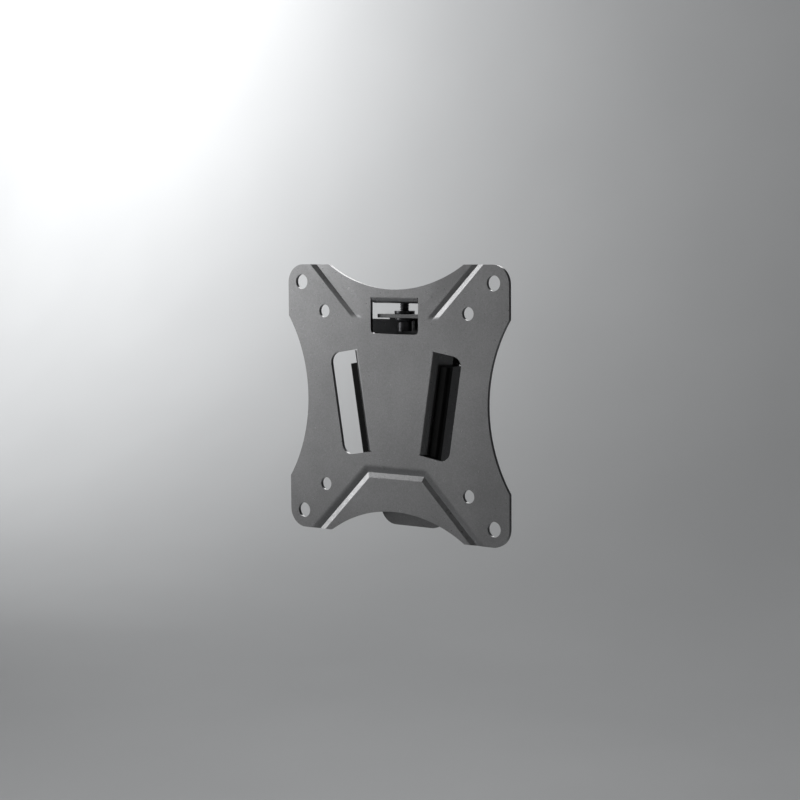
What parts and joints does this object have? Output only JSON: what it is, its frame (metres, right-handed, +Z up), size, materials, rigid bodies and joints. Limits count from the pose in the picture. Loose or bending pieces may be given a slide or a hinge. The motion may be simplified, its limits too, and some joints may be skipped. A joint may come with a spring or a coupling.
{
  "type": "monitor wall mount",
  "caption": "Flat fixed monitor wall mount: an X-shaped screen plate with bent wedge tabs hangs in the lined rails of a wall bracket and is locked by a screw.",
  "frame": {"origin": "on the wall plane, behind the middle of the screen plate's hole pattern", "axes": "+X to the right seen from the screen side, +Y into the wall, +Z up; the screen side faces -Y"},
  "size_m": [0.115, 0.0145, 0.115],
  "materials": {
    "powder_coat": "satin grey powder coat with a fine grain on pressed steel",
    "dark_powder_coat": "satin dark grey powder coat with a fine grain on pressed steel",
    "black_nylon": "matt black moulded nylon",
    "dark_zinc": "black zinc plate on steel"
  },
  "bodies": {
    "bracket": {"wall_bracket": "dark_powder_coat", "left_rail_liner": "black_nylon", "right_rail_liner": "black_nylon", "rivet_nut": "dark_zinc"},
    "screen_plate": {"vesa_plate": "powder_coat"},
    "washer": {"lock_washer": "dark_zinc"},
    "screw": {"lock_screw": "dark_zinc"}
  },
  "joints": [
    {"name": "plate_lift", "type": "slide", "parent": "bracket", "child": "screen_plate", "axis": [0, 0, 1], "range_m": [0, 0.045]},
    {"name": "screw_rise", "type": "slide", "parent": "screen_plate", "child": "washer", "axis": [0, 0, 1], "range_m": [0, 0.0084]},
    {"name": "screw_turn", "type": "hinge", "parent": "washer", "child": "screw", "pos_m": [0, -0.007, 0.0427], "axis": [0, 0, 1], "range_deg": [0, 4330]}
  ],
  "couplings": [
    {"joint": "screw_turn", "follows": "screw_rise", "rad_per_m": 8976}
  ]
}
